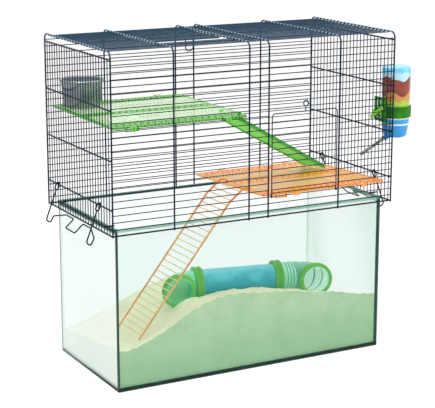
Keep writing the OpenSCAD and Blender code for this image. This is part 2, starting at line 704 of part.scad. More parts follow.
// Ladder: two square bars, bent to a hook at the top, with round rungs
function across(a, b) = [a.y - b.y, b.x - a.x] / norm(b - a);
function mitre(path, i) =
    let (n = len(path) - 1, a = across(path[max(0, i - 1)], path[max(1, i)]),
        b = across(path[min(n - 1, i)], path[min(n, i + 1)]))
    (a + b) / (1 + a * b);
module bar(path, w)
    polygon(concat([for (i = [0:len(path) - 1]) path[i] + w / 2 * mitre(path, i)],
        [for (i = [len(path) - 1:-1:0]) path[i] - w / 2 * mitre(path, i)]));
module ladder() {
    path = [[ladder_foot_x, ladder_foot_z], ladder_bend, [lower_x0 - 4, hook_z], [hook_x - 3, hook_z],
        [hook_x, hook_z - 3], [hook_x, lower_top(ladder_y + ladder_w / 2) - shelf_t]];
    low_l = norm(path[1] - path[0]);
    high_l = norm(path[2] - path[1]);
    color(tangerine) {
        for (s = [-1, 1])
            translate([0, ladder_y + s * ladder_w / 2, 0]) rotate([90, 0, 0])
                linear_extrude(rail_d, center = true) bar(path, rail_d);
        for (i = [1:floor(low_l / rung_pitch)])
            let (p = path[1] + (path[0] - path[1]) * (i - 0.4) * rung_pitch / low_l)
                wire_y(p.x, ladder_y - ladder_w / 2, ladder_y + ladder_w / 2, p.y, rung_d);
        wire_y(top_rung_x, ladder_y - ladder_w / 2, ladder_y + ladder_w / 2, hook_z, rung_d);
        for (i = [0:floor(high_l / rung_pitch) - 1])
            let (p = path[1] + (path[2] - path[1]) * (i + 0.4) * rung_pitch / high_l)
                wire_y(p.x, ladder_y - ladder_w / 2, ladder_y + ladder_w / 2, p.y, rung_d);
    }
}

// Bowl: a spun steel cup with a rolled lip
module feeding_bowl() {
    top_r = bowl_d / 2 - bowl_lip;
    foot_r = top_r * bowl_foot;
    w = bowl_wall;
    color([0.62, 0.64, 0.66]) translate([bowl_at.x, bowl_at.y, upper_top + fit]) rotate_extrude() {
        polygon([[0, 0], [foot_r, 0], [top_r, bowl_h - bowl_lip], [top_r - w, bowl_h - bowl_lip],
            [foot_r - w, w], [0, w]]);
        translate([top_r, bowl_h - bowl_lip]) intersection() {
            circle(r = bowl_lip);
            translate([-bowl_lip / 2, -bowl_lip]) square([2 * bowl_lip, 2 * bowl_lip]);
        }
    }
}

// Drink bottle and its holder
module bottle_holder() {
    plate_t = 3.4;
    plate_side = 15;
    plate_front = 27;
    plate_low = 6;
    plate_high = 20;
    plate_x = hx - wire_in + wire_r + touch;
    ring_in = bottle_r(belt_z + belt_h - bottle_z) + fit;
    ring_low = bottle_r(belt_z - bottle_z) + fit;
    back_x = hx - wire_in - wire_r - touch;
    color(lime) {
        translate([bottle_x, bottle_y, belt_z]) {
            rotate_extrude() polygon([[ring_low, 0], [ring_in + belt_t, 0], [ring_in + belt_t, belt_h],
                [ring_in, belt_h]]);
            translate([ring_in + belt_t - 1, -6, belt_h * 0.3]) cube([5, 12, belt_h * 0.4]);
        }
        translate([plate_x, bottle_y - plate_front, belt_z - plate_low])
            cube([plate_t, plate_front + plate_side, plate_low + belt_h + plate_high]);
        translate([plate_x + plate_t - 1, bottle_y - 11, belt_z + 3])
            cube([bottle_x - ring_in - belt_t * 0.3 - plate_x - plate_t + 1, 22, belt_h - 6]);
        for (s = [-1, 1])
            translate([back_x - 2, bottle_y + s * end_pitch - 3, belt_z + belt_h * 0.3])
                cube([plate_x - back_x + 3, 6, belt_h * 0.4]);
        translate([back_x - 3, bottle_y - end_pitch - 5, belt_z + belt_h * 0.3])
            cube([3, 2 * end_pitch + 10, belt_h * 0.4]);
    }
}
module bottle() {
    r0 = neck_r;
    r1 = bottle_d / 2;
    h1 = bottle_h - shoulder;
    w = bottle_wall;
    color([0.5, 0.8, 0.96, 0.6]) translate([bottle_x, bottle_y, bottle_z]) rotate_extrude()
        polygon([[r0 - w, 0], [r0, 0], [r1, h1], [r1 - shoulder_in * 0.3, h1 + shoulder * 0.7],
            [r1 - shoulder_in, bottle_h], [0, bottle_h], [0, bottle_h - w],
            [r1 - shoulder_in - w * 0.4, bottle_h - w], [r1 - shoulder_in * 0.3 - w, h1 + shoulder * 0.4],
            [r1 - w, h1]]);
}
module sealing_ring()
    color("white") translate([bottle_x, bottle_y, cup_z + cup_h]) linear_extrude(seal_t) difference() {
        circle(r = neck_r);
        circle(r = neck_r - 4);
    }
module cup_shape(inset)
    translate([bottle_x, bottle_y, cup_z]) rotate_extrude()
        polygon([[0, inset], [cup_low_r - 3, inset], [cup_low_r - inset, 3 + inset],
            [cup_top_r - inset, cup_h], [0, cup_h]]);
module nozzle() rod(spout_top + spout_dir * 6, spout_top + spout_dir * nozzle_l, nozzle_d);
module cup_cap()
    color([0.22, 0.62, 0.9]) difference() {
        union() {
            cup_shape(0);
            nozzle();
        }
        difference() {
            cup_shape(bottle_wall + 0.4);
            nozzle();
        }
        rod(spout_top, spout_top + spout_dir * spout_l, spout_d + touch);
    }
module spout_tube()
    color("silver") difference() {
        rod(spout_top, spout_top + spout_dir * spout_l, spout_d);
        rod(spout_top - spout_dir, spout_top + spout_dir * (spout_l - spout_lip), spout_bore);
        rod(spout_top, spout_top + spout_dir * (spout_l + 1), ball_seat);
    }
module spout_ball() {
    rest = spout_lip + sqrt(ball_d * ball_d - ball_seat * ball_seat) / 2 + fit;
    color("silver") translate(spout_top + spout_dir * (spout_l - rest)) sphere(d = ball_d);
}

base_glass();
front_glass();
back_glass();
left_glass();
right_glass();
corner_seams();
base_seam();
sand_bed();
straight_tube();
elbow_tube();
ribbed_bend();
left_joint_ring();
right_joint_ring();
left_mouth_ring();
right_mouth_ring();
front_grille();
back_grille();
roof_grille();
left_end_grille();
right_end_grille();
rim_rests();
front_door();
roof_door();
left_bail();
right_bail();
upper_shelf();
ramp();
lower_shelf();
ladder();
feeding_bowl();
bottle_holder();
bottle();
cup_cap();
sealing_ring();
spout_tube();
spout_ball();
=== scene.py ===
import math
import bpy
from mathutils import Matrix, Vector


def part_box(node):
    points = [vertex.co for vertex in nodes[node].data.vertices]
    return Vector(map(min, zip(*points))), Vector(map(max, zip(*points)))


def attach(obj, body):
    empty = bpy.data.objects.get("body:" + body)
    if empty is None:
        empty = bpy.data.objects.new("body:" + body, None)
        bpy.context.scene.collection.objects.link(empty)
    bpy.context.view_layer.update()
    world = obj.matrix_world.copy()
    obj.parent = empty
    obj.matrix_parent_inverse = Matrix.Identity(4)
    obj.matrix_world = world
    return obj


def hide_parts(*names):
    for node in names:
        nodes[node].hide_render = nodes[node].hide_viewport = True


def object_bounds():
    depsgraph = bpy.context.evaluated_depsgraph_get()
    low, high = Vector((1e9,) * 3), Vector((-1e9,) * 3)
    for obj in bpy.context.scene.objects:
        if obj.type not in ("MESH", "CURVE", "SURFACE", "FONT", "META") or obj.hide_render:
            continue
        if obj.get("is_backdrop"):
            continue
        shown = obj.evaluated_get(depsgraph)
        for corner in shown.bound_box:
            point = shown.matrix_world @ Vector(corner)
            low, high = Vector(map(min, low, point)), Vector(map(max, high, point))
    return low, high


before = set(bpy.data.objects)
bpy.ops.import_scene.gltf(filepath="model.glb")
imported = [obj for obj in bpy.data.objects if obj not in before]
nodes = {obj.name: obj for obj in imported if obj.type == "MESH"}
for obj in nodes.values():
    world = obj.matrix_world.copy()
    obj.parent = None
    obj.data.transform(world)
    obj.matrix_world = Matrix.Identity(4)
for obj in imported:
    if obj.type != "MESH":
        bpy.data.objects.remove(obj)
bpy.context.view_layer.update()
print("frame loaded:", len(nodes), "nodes")


# a node socket that takes part in sums
class Wire:
    def __init__(self, shade, out):
        self.shade, self.out = shade, out

    def maths(self, how, *others):
        return self.shade.add("ShaderNodeMath", {"operation": how}, dict(enumerate((self,) + others)))

    def back(self, how, other):
        return self.shade.add("ShaderNodeMath", {"operation": how}, {0: other, 1: self})

    def __add__(self, other):
        return self.maths("ADD", other)

    def __sub__(self, other):
        return self.maths("SUBTRACT", other)

    def __mul__(self, other):
        return self.maths("MULTIPLY", other)

    def __truediv__(self, other):
        return self.maths("DIVIDE", other)

    def __gt__(self, other):
        return self.maths("GREATER_THAN", other)

    def __lt__(self, other):
        return self.maths("LESS_THAN", other)

    def __abs__(self):
        return self.maths("ABSOLUTE")

    def __radd__(self, other):
        return self.back("ADD", other)

    def __rsub__(self, other):
        return self.back("SUBTRACT", other)

    def __rmul__(self, other):
        return self.back("MULTIPLY", other)

    def sine(self):
        return self.maths("SINE")

    def least(self, other):
        return self.maths("MINIMUM", other)

    def most(self, other):
        return self.maths("MAXIMUM", other)

    # how far out a point lies, from its two distances
    def reach(self, other):
        return (self * self + other * other).maths("SQRT")

    # distance to the nearest whole number
    def beat(self):
        return 0.5 - abs(self.maths("FRACT") - 0.5)

    # up to 1 and down to 0 once in every pitch
    def wave(self, pitch):
        return (self * (2 * math.pi / pitch)).sine() * 0.5 + 0.5

    # 0 below low, 1 above high
    def step(self, low, high):
        return self.shade.add("ShaderNodeMapRange", {"interpolation_type": "SMOOTHSTEP"},
                              {0: self, 1: low, 2: high, 3: 0.0, 4: 1.0})


# sRGB 0-255 as seen in a picture, to the linear colour that a socket takes
def paint(red, green, blue):
    def linear(c):
        c /= 255
        return c / 12.92 if c <= 0.04045 else ((c + 0.055) / 1.055) ** 2.4
    return (linear(red), linear(green), linear(blue), 1.0)


# a material and the nodes that go into it
class Finish:
    def __init__(self, name, holder=None):
        self.mat = holder or bpy.data.materials.new(name)
        self.mat.use_nodes = True
        self.tree = self.mat.node_tree
        self.shader = self.tree.nodes.get("Principled BSDF")

    def add(self, kind, settings=None, sockets=None, out=0):
        node = self.tree.nodes.new(kind)
        for key, value in (settings or {}).items():
            if key == "stops":
                ramp = node.color_ramp.elements
                while len(ramp) < len(value):
                    ramp.new(0.5)
                for element, (place, colour) in zip(ramp, value):
                    element.position, element.color = place, colour
            else:
                setattr(node, key, value)
        for key, value in (sockets or {}).items():
            if isinstance(value, Wire):
                self.tree.links.new(value.out, node.inputs[key])
            else:
                node.inputs[key].default_value = value
        return Wire(self, node.outputs[out])

    def coords(self):
        return self.add("ShaderNodeTexCoord", out="Object")

    def axes(self, letters="XYZ"):
        place = self.coords()
        return [self.add("ShaderNodeSeparateXYZ", None, {0: place}, out=letter) for letter in letters]

    def noise(self, scale, detail=3.0, rough=0.5, place=None):
        return self.add("ShaderNodeTexNoise", None, {"Vector": place or self.coords(), "Scale": scale,
                                                     "Detail": detail, "Roughness": rough})

    def ramp(self, value, *stops):
        return self.add("ShaderNodeValToRGB", {"stops": stops}, {0: value})

    # one colour to another over the middle of a noise's range
    def fade(self, value, dark, light):
        return self.ramp(value, (0.3, dark), (0.7, light))

    def mix(self, amount, first, second):
        return self.add("ShaderNodeMix", {"data_type": "RGBA"}, {0: amount, 6: first, 7: second}, out=2)

    def bump(self, height, strength, distance):
        return self.add("ShaderNodeBump", None, {"Height": height, "Strength": strength, "Distance": distance})

    # the fine skin of moulded plastic
    def skin(self, scale=900):
        return self.bump(self.noise(scale, 2), 0.12, 0.0002)

    # 1 where the camera, a mirror or a pane looks straight at the surface
    def seen(self):
        rays = self.tree.nodes.new("ShaderNodeLightPath")
        looks = [Wire(self, rays.outputs["Is %s Ray" % kind]) for kind in ("Camera", "Glossy", "Transmission")]
        return (looks[0] + looks[1] + looks[2]).least(1.0)

    # sockets of the main shader, by name
    def wear(self, **sockets):
        for key, value in sockets.items():
            slot = self.shader.inputs[key.replace("_", " ")]
            if isinstance(value, Wire):
                self.tree.links.new(value.out, slot)
            else:
                slot.default_value = value
        return self.mat


def dress(mat, *names):
    for name in names:
        nodes[name].data.materials.clear()
        nodes[name].data.materials.append(mat)


def deselect():
    if bpy.context.object and bpy.context.object.mode != "OBJECT":
        bpy.ops.object.mode_set(mode="OBJECT")
    bpy.ops.object.select_all(action="DESELECT")


# puts the active object's place into its mesh and hands it over
def keep(name, mat, body, node, angle=35):
    piece = bpy.context.object
    bpy.ops.object.transform_apply(location=True, rotation=True, scale=True)
    bpy.ops.object.shade_smooth_by_angle(angle=math.radians(angle))
    piece.name = name
    piece.data.name = name
    piece.data.materials.clear()
    piece.data.materials.append(mat)
    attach(piece, body)
    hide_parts(node)


# a block with softened edges, from its lowest and highest corners
def block(low, high, soft, segments=2):
    low, high = Vector(low), Vector(high)
    deselect()
    bpy.ops.mesh.primitive_cube_add(size=1, location=(low + high) / 2)
    piece = bpy.context.object
    piece.scale = high - low
    bpy.ops.object.transform_apply(location=False, rotation=False, scale=True)
    bevel = piece.modifiers.new("bevel", "BEVEL")
    bevel.width, bevel.segments, bevel.limit_method = soft, segments, "ANGLE"
    bpy.ops.object.modifier_apply(modifier=bevel.name)
    return piece


# draws an outline of (radius, height) points and spins it round the Z axis
def spin(outline, place, turn=(0, 0, 0), steps=72, closed=True):
    deselect()
    bpy.ops.mesh.primitive_plane_add(size=0.001)  # becomes the outline's first point
    piece = bpy.context.object
    bpy.ops.object.mode_set(mode="EDIT")
    bpy.ops.mesh.select_mode(type="VERT")
    bpy.ops.mesh.select_all(action="SELECT")
    bpy.ops.mesh.merge(type="CENTER")
    points = list(outline) + ([outline[0]] if closed else [])
    bpy.ops.transform.translate(value=(points[0][0], 0, points[0][1]))
    for before, after in zip(points, points[1:]):
        bpy.ops.mesh.extrude_vertices_move(
            TRANSFORM_OT_translate={"value": (after[0] - before[0], 0, after[1] - before[1])})
    bpy.ops.mesh.select_all(action="SELECT")
    bpy.ops.mesh.spin(steps=steps, angle=2 * math.pi, center=(0, 0, 0), axis=(0, 0, 1))
    bpy.ops.mesh.select_all(action="SELECT")
    bpy.ops.mesh.remove_doubles(threshold=0.00002)
    bpy.ops.mesh.normals_make_consistent(inside=False)
    bpy.ops.object.mode_set(mode="OBJECT")
    piece.location = place
    piece.rotation_euler = turn
    return piece


# makes one mesh of several pieces
def join(parts):
    deselect()
    for part in parts:
        part.select_set(True)
    bpy.context.view_layer.objects.active = parts[0]
    bpy.ops.object.join()


# points of a rounded corner in an outline
def corner(x, z, r, start, end, count=5):
    steps = [math.radians(start + (end - start) * k / count) for k in range(count + 1)]
    return [(x + r * math.cos(a), z + r * math.sin(a)) for a in steps]


# a place, of numbers or sockets, as seen from a piece that is turned: along it and across it
def alongAcross(x, y, piece):
    c, s = math.cos(piece["turn"]), math.sin(piece["turn"])
    x, y = x - piece["x"], y - piece["y"]
    return x * c + y * s, y * c - x * s


# wires: a navy coat, lighter on the roof as a painted sheen from the light above, with painted highlights in dots
# along the hoops where the roof's wires are welded on
wires = {"coat": (paint(0, 18, 38), paint(8, 36, 62)), "roof": paint(34, 68, 92), "roofShare": 0.7,
         "roofHeight": (0.656, 0.662), "hoopHeight": (0.6644, 0.6654), "hoopGlintPitch": 0.0135,
         "hoopGlintDark": paint(10, 34, 56), "hoopGlintLight": paint(128, 164, 188)}


def wireCoat():
    f = Finish("navy wire coat")
    y, z = f.axes("YZ")
    patch = f.noise(60, 4)
    # painted highlights: light dots on the hoops' tops at each crossing of the roof's wires
    hoopGlint = f.mix(y.wave(wires["hoopGlintPitch"]).step(0.3, 0.7), wires["hoopGlintDark"], wires["hoopGlintLight"])
    colour = f.fade(patch, *wires["coat"])
    # painted sheen: the roof's wires are lighter where they face the light from above
    colour = f.mix(z.step(*wires["roofHeight"]) * wires["roofShare"], colour, wires["roof"])
    colour = f.mix(z.step(*wires["hoopHeight"]), colour, hoopGlint)
    return f.wear(Base_Color=colour, Roughness=0.4 + patch * 0.14, Specular_IOR_Level=0.16,
                  Normal=f.bump(f.noise(1400, 2), 0.15, 0.0002))


dress(wireCoat(), "front_grille", "back_grille", "roof_grille", "left_end_grille", "right_end_grille", "rim_rests",
      "front_door", "roof_door", "left_bail", "right_bail")
print("wires coated")

# shelves: moulded lattices, strong in the strips and ends, paler in the fields of slots between them
shelves = {"middleStrip": (0.0165, 0.0185), "sideStrip": (0.1085, 0.1105), "end": (0.008, 0.006), "bead": 0.0072,
           "glow": 0.1,
           "colours": {"upper_shelf": ("green shelf plastic", paint(20, 120, 0), paint(100, 194, 46),
                                       paint(208, 234, 192)),
                       "lower_shelf": ("orange shelf plastic", paint(230, 104, 0), paint(254, 182, 72),
                                       paint(238, 178, 98))}}


def latticePlastic(node, name, strip, stripLight, field):
    f = Finish(name)
    x, y = f.axes("XY")
    low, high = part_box(node)
    middle, half = (low.x + high.x) / 2, (high.x - low.x) / 2
    endFrom, endTo = (half - depth for depth in shelves["end"])
    pale = abs(y).step(*shelves["middleStrip"]) * (1 - abs(y).step(*shelves["sideStrip"]))
    pale = pale * (1 - abs(x - middle).step(endFrom, endTo))
    cloud = f.noise(40, 3)
    bead = x.wave(shelves["bead"]).step(0.25, 0.75)
    colour = f.mix(bead * 0.75 + cloud * 0.25, strip, stripLight)
    colour = f.mix(pale * (0.8 + cloud * 0.2), colour, field)
    return f.wear(Base_Color=colour, Roughness=0.26 + cloud * 0.12, Coat_Weight=0.25, Emission_Color=colour,
                  Emission_Strength=shelves["glow"], Normal=f.skin())


for node, colours in shelves["colours"].items():
    dress(latticePlastic(node, *colours), node)
print("shelves coloured")

# ladder: strong rails and pale rungs, tanner below the tank's rim as a painted tint of the light that comes through
# the glass
ladder = {"middle": -0.026, "half": 0.0485, "rail": 0.002, "glassTintHeight": (0.3, 0.345),
          "rails": (paint(234, 122, 12), paint(250, 156, 40)),
          "rungs": (paint(240, 176, 98), paint(250, 204, 142)),
          "tintedRails": (paint(224, 148, 50), paint(236, 174, 82)),
          "tintedRungs": (paint(236, 188, 108), paint(246, 212, 146))}


def ladderPlastic():
    f = Finish("orange ladder plastic")
    y, z = f.axes("YZ")
    rail = abs(y - ladder["middle"]) > ladder["half"] - ladder["rail"]
    # painted tint: tan below the rim, for the light that comes through the glass
    underGlassTint = 1 - z.step(*ladder["glassTintHeight"])
    cloud = f.noise(30, 3)
    rails = f.mix(underGlassTint, f.fade(cloud, *ladder["rails"]), f.fade(cloud, *ladder["tintedRails"]))
    rungs = f.mix(underGlassTint, f.fade(cloud, *ladder["rungs"]), f.fade(cloud, *ladder["tintedRungs"]))
    return f.wear(Base_Color=f.mix(rail, rungs, rails), Roughness=0.28 + cloud * 0.12, Coat_Weight=0.25,
                  Normal=f.skin())


dress(ladderPlastic(), "ladder")

# ramp: green plastic thin enough for light to come through, darker along its sides and under its treads
ramp = {"x": -0.035, "y": -0.105, "turn": math.radians(28.5), "half": 0.026, "side": (0.0046, 0.003),
        "pitch": 0.01183, "tread": 0.0022, "glow": 0.36, "sheet": (paint(64, 196, 34), paint(108, 220, 66)),
        "dark": paint(36, 142, 16)}


def rampPlastic():
    f = Finish("green ramp plastic")
    x, y = f.axes("XY")
    along, over = alongAcross(x, y, ramp)
    sideFrom, sideTo = (ramp["half"] - depth for depth in ramp["side"])
    side = abs(over).step(sideFrom, sideTo)
    tread = 1 - ((along - ramp["tread"] / 2) / ramp["pitch"]).beat().step(0.08, 0.16)
    cloud = f.noise(26, 3)
    colour = f.mix(side.most(tread * 0.75), f.fade(cloud, *ramp["sheet"]), ramp["dark"])
    return f.wear(Base_Color=colour, Roughness=0.3 + cloud * 0.14, Specular_IOR_Level=0.3, Emission_Color=colour,
                  Emission_Strength=ramp["glow"], Normal=f.skin(700))


dress(rampPlastic(), "ramp")
print("ladder and ramp coloured")


# see-through plastic that light soaks into, paler towards its top as a painted highlight and darker low down as
# painted shade
def clearPlastic(name, dark, light, pale, middle, alpha, glow):
    f = Finish(name)
    z, = f.axes("Z")
    cloud = f.noise(30, 3)
    # painted shade and highlight: the colour runs from dark low down to pale at the top
    height = (z - middle) * 17 + 0.5
    colour = f.ramp(height + (cloud - 0.5) * 0.8, (0.15, dark), (0.6, light), (0.95, pale))
    return f.wear(Base_Color=colour, Alpha=alpha + cloud * 0.12, Roughness=0.14 + cloud * 0.1, Coat_Weight=0.4,
                  Emission_Color=colour, Emission_Strength=glow, Normal=f.bump(f.noise(250, 2), 0.12, 0.0004))


def mouldedPlastic(name, dark, light, rough, coat):
    f = Finish(name)
    cloud = f.noise(18, 4)
    return f.wear(Base_Color=f.fade(cloud, dark, light), Roughness=rough + cloud * 0.12, Coat_Weight=coat,
                  Specular_IOR_Level=0.3, Normal=f.skin())


# play tubes: a straight tube with an elbow at its left end and a ribbed bend at its right, each with a mouth in front
tubes = {"x": 0.0405, "y": 0.0025, "z": 0.142, "turn": math.radians(-11.6), "bend": 0.036, "left": -0.1006,
         "right": 0.1251, "mouth": 0.012, "joint": 0.087, "ring": 0.036, "wall": 0.0291,
         "ribRadius": (0.0292, 0.0297), "innerRadius": (0.0272, 0.0276), "ribStart": 16.5, "ribPitch": 21,
         "body": (paint(0, 162, 84), paint(40, 194, 120), paint(126, 226, 188)),
         "inside": (paint(222, 246, 236), paint(240, 252, 248)), "rib": paint(24, 132, 96)}


# mint plastic with dark ribs outside, their painted shadows on the pale inner wall, and a painted highlight towards
# the top
def ribbedPlastic():
    f = Finish("mint ribbed bend")
    x, y, z = f.axes()
    along, over = alongAcross(x, y, tubes)
    up, out, b = z - tubes["z"], along - tubes["right"], tubes["bend"]
    bent = (out > 0) * (over > -b)
    turned = abs(out.most(0.0).reach(over + b) - b)
    off = bent * turned + (1 - bent) * (out < 0) * abs(over) + (over < -b) * abs(out - b)
    radius = off.reach(up)
    rib = radius.step(*tubes["ribRadius"])
    inner = 1 - radius.step(*tubes["innerRadius"])
    angle = (over + b).maths("ARCTAN2", out) * (180 / math.pi)
    ribShadow = bent * inner * (1 - ((angle - tubes["ribStart"]) / tubes["ribPitch"]).beat().step(0.05, 0.1))
    cloud = f.noise(60, 3)
    low, mid, high = tubes["body"]
    # painted shade and highlight: darker low down, pale towards the top
    body = f.ramp(up * 14 + 0.5 + (cloud - 0.5) * 0.5, (0.1, low), (0.45, mid), (0.8, high))
    body = f.mix(inner, body, f.fade(cloud, *tubes["inside"]))
    body = f.mix((rib + ribShadow).least(1.0), body, tubes["rib"])
    alpha = (0.5 + cloud * 0.1 + rib * 0.25).most(ribShadow * 0.95).most(inner * 0.62)
    return f.wear(Base_Color=body, Alpha=alpha, Roughness=0.16 + cloud * 0.1, Coat_Weight=0.4, Emission_Color=body,
                  Emission_Strength=0.25)


dress(clearPlastic("cyan tube", paint(0, 140, 152), paint(0, 160, 182), paint(96, 208, 228), tubes["z"], 0.74, 0.14),
      "straight_tube")
dress(clearPlastic("teal elbow", paint(8, 160, 74), paint(44, 198, 124), paint(150, 230, 194), tubes["z"], 0.5, 0.36),
      "elbow_tube")
dress(ribbedPlastic(), "ribbed_bend")
print("tubes tinted")

# seams: silicone between the plates, dark in front and pale behind
seams = {"front": (paint(0, 28, 18), paint(6, 48, 34)), "back": (paint(176, 206, 194), paint(200, 222, 212)),
         "alpha": 0.14, "frontAlpha": 0.8}


def seamRubber():
    f = Finish("green corner seam")
    y, = f.axes("Y")
    front = y < 0
    cloud = f.noise(90, 3)
    colour = f.mix(front, f.fade(cloud, *seams["back"]), f.fade(cloud, *seams["front"]))
    return f.wear(Base_Color=colour, Specular_IOR_Level=0.2, Alpha=seams["alpha"] + front * seams["frontAlpha"],
                  Roughness=0.35 + cloud * 0.1, Normal=f.bump(f.noise(600), 0.2, 0.0003))


dress(seamRubber(), "corner_seams", "base_seam")

# plates: clear glass with ground edges, and what each plate has of its own
paleEdge = {"edgeDark": paint(120, 168, 148), "edgeLight": paint(160, 200, 182), "edgeAlpha": 0.22}
plates = {
    "soft": 0.0007, "thin": 0.004,
    "clear": {"rim": 0.0009, "edgeAlpha": 0.95, "edgeDark": paint(4, 40, 28), "edgeLight": paint(14, 66, 50),
              "crest": 0.006, "crestAlpha": 0.55, "crestColour": paint(104, 184, 156),
              "face": 0.084, "faceColour": (paint(106, 192, 170), paint(122, 202, 182)), "gloss": 0.25,
              "slant": (0.5, 0.72), "reflectionAlpha": 0.6, "reflectionGlow": paint(236, 249, 242), "reflectionBase": paint(236, 249, 242),
              "glow": 0.3, "leftEnd": 0, "leftColour": paint(92, 124, 114)},
    "own": {"base_glass": {"edgeDark": paint(2, 30, 20), "edgeLight": paint(8, 48, 36), "edgeAlpha": 0.98},
            "front_glass": {},
            # back and left plates: a dark upper rim, partly their own green glass edge and partly painted shade and
            # reflection
            "back_glass": {**paleEdge, "crestColour": paint(22, 68, 68), "crestAlpha": 0.8, "leftEnd": 0.8},
            "left_glass": {**paleEdge, "crestColour": paint(22, 68, 68), "crestAlpha": 0.8, "crest": 0.01,
                           "slant": (0.2, 0.4), "reflectionAlpha": 0.36, "reflectionGlow": paint(244, 253, 249),
                           "reflectionBase": paint(118, 124, 122), "glow": 0.79, "gloss": 0.01},
            "right_glass": {**paleEdge, "crestColour": paint(64, 140, 122), "crestAlpha": 0.75}}}


# mint in the face, a painted reflection of the bright surroundings where it is seen on the slant, green along the
# edges and the upper rim
def clearGlass(name, low, high, look):
    f = Finish(name)
    places = f.axes()
    middle, half = (low + high) / 2, (high - low) / 2
    ends = [abs(place - m) > h - look["rim"] for place, m, h in zip(places, middle, half) if h > plates["thin"]]
    rim = ends[0].most(ends[1])
    crest = places[2] > high.z - look["crest"]
    leftEnd = (places[0] < low.x + look["rim"]) * look["leftEnd"]
    # painted reflection: paler and glowing where the plate is seen on the slant
    slant = f.add("ShaderNodeLayerWeight", None, {"Blend": 0.5}, out="Facing").step(*look["slant"])
    slant = slant * (1 - rim.most(crest))
    face = f.fade(f.noise(5, 2), *look["faceColour"])
    face = f.mix(slant, face, look["reflectionBase"])
    face = f.mix(crest, face, look["crestColour"])
    edge = f.ramp(f.noise(40, 3), (0.35, look["edgeDark"]), (0.65, look["edgeLight"]))
    edge = f.mix(leftEnd, edge, look["leftColour"])
    alpha = (look["face"] + slant * look["reflectionAlpha"]).most(crest * look["crestAlpha"])
    alpha = alpha.most(rim * look["edgeAlpha"]).most(leftEnd)
    return f.wear(Base_Color=f.mix(rim, face, edge), Alpha=alpha, Roughness=0.05 + rim * 0.1,
                  Emission_Color=f.mix(slant, paint(0, 0, 0), look["reflectionGlow"]), Emission_Strength=look["glow"],
                  Specular_IOR_Level=look["gloss"])


for name, own in plates["own"].items():
    low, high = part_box(name)
    block(low, high, plates["soft"])
    sheet = clearGlass(name + " sheet", low, high, {**plates["clear"], **own})
    keep(name.replace("glass", "plate"), sheet, "tank", name, 30)
print("plates set")

# sand: a fine grid raised to the heap's shape, closed down to the bottom plate
sand = {"halfX": 0.2947, "halfY": 0.1372, "floor": 0.005, "cellsX": 196, "cellsY": 92, "wall": 0.295, "length": 0.59,
        "depth": 0.275, "skin": 0.0006, "tubeGap": 0.0006,
        "front": {"low": 0.082, "rise": 0.081, "start": -0.2891, "width": 0.2301, "fall": 0.049},
        "back": {"low": 0.044, "rise": 0.092, "start": -0.34515, "width": 0.354, "fall": 0.085},
        "dip": 0.030, "shallow": 0.009, "shallowFrom": -0.13, "shallowWidth": 0.22,
        "mound": 0.017, "moundX": -0.1, "moundY": -0.036, "moundSpread": 0.00125,
        "jointRoom": 0.011, "mouthFrom": 0.002, "mouthTo": 0.0005,
        "steady": 0.02, "crest": 0.03, "sink": 0.002, "ragged": 0.0018, "raggedFine": 0.0005,
        "rolling": ((0.0014, 61, 23, -17, 47), (0.0014, 140, -90, 60, 120), (0.0007, 310, 140, -190, 270)),
        "top": (paint(234, 231, 196), paint(246, 244, 214), paint(252, 251, 232)),
        "pressed": (paint(178, 203, 161), paint(200, 223, 183), paint(212, 231, 197)),
        "damp": paint(160, 204, 154), "dampTo": 0.14,
        "side": (paint(214, 230, 210), paint(228, 240, 224)), "glow": 0.08}


# loose on top, pressed and greener against the front plate, pale against the others
def looseSand():
    f = Finish("pale sand")
    x, y, z = f.axes()
    insideX, insideY = sand["halfX"] - sand["skin"], sand["halfY"] - sand["skin"]
    front = y < -insideY
    side = (abs(x) > insideX).most(y > insideY)
    grain = f.noise(1500, 2, 0.7)
    drift = f.noise(22, 4)
    speck = drift * 0.4 + f.noise(420, 2, 0.7) * 0.6
    top = f.ramp(drift * 0.6 + grain * 0.4, *zip((0.3, 0.55, 0.75), sand["top"]))
    pressed = f.ramp(speck, *zip((0.34, 0.5, 0.68), sand["pressed"]))
    pressed = f.mix((1 - z.step(0.0, sand["dampTo"])) * 0.5, pressed, sand["damp"])
    pale = f.ramp(speck, *zip((0.34, 0.66), sand["side"]))
    colour = f.mix(front, f.mix(side, top, pale), pressed)
    lit = f.mix(front.most(side), top, paint(0, 0, 0))
    return f.wear(Base_Color=colour, Roughness=0.92, Specular_IOR_Level=0.15, Emission_Color=lit,
                  Emission_Strength=sand["glow"], Normal=f.bump(grain * 0.5 + drift * 0.5, 0.7, 0.002))


def ease(t):
    t = min(1.0, max(0.0, t))
    return t * t * (3 - 2 * t)


# height along the front or the back plate: a slope up, then a slow fall to the right wall
def heapEdge(x, edge):
    start, width = edge["start"], edge["width"]
    past = max(0.0, x - start - width) / (sand["wall"] - start - width)
    return edge["low"] + edge["rise"] * ease((x - start) / width) - edge["fall"] * past ** 1.5


# how far a point lies beside the tubes' line, and the room that the tube or its ring takes there
def tubeRoom(x, y):
    along, over = alongAcross(x, y, tubes)
    r = tubes["bend"]
    out = tubes["left"] - along if along < tubes["left"] else along - tubes["right"]
    if out < 0:
        ringed = abs(abs(along) - tubes["joint"]) < sand["jointRoom"]
        return abs(over), tubes["ring"] if ringed else tubes["wall"]
    if over > -r:
        ringed = over < sand["mouthFrom"] - r
        return abs(math.hypot(out, over + r) - r), tubes["ring"] if ringed else tubes["wall"]
    inMouth = over > -r - tubes["mouth"] - sand["mouthTo"]
    return (abs(out - r) if inMouth else 1.0), tubes["ring"]


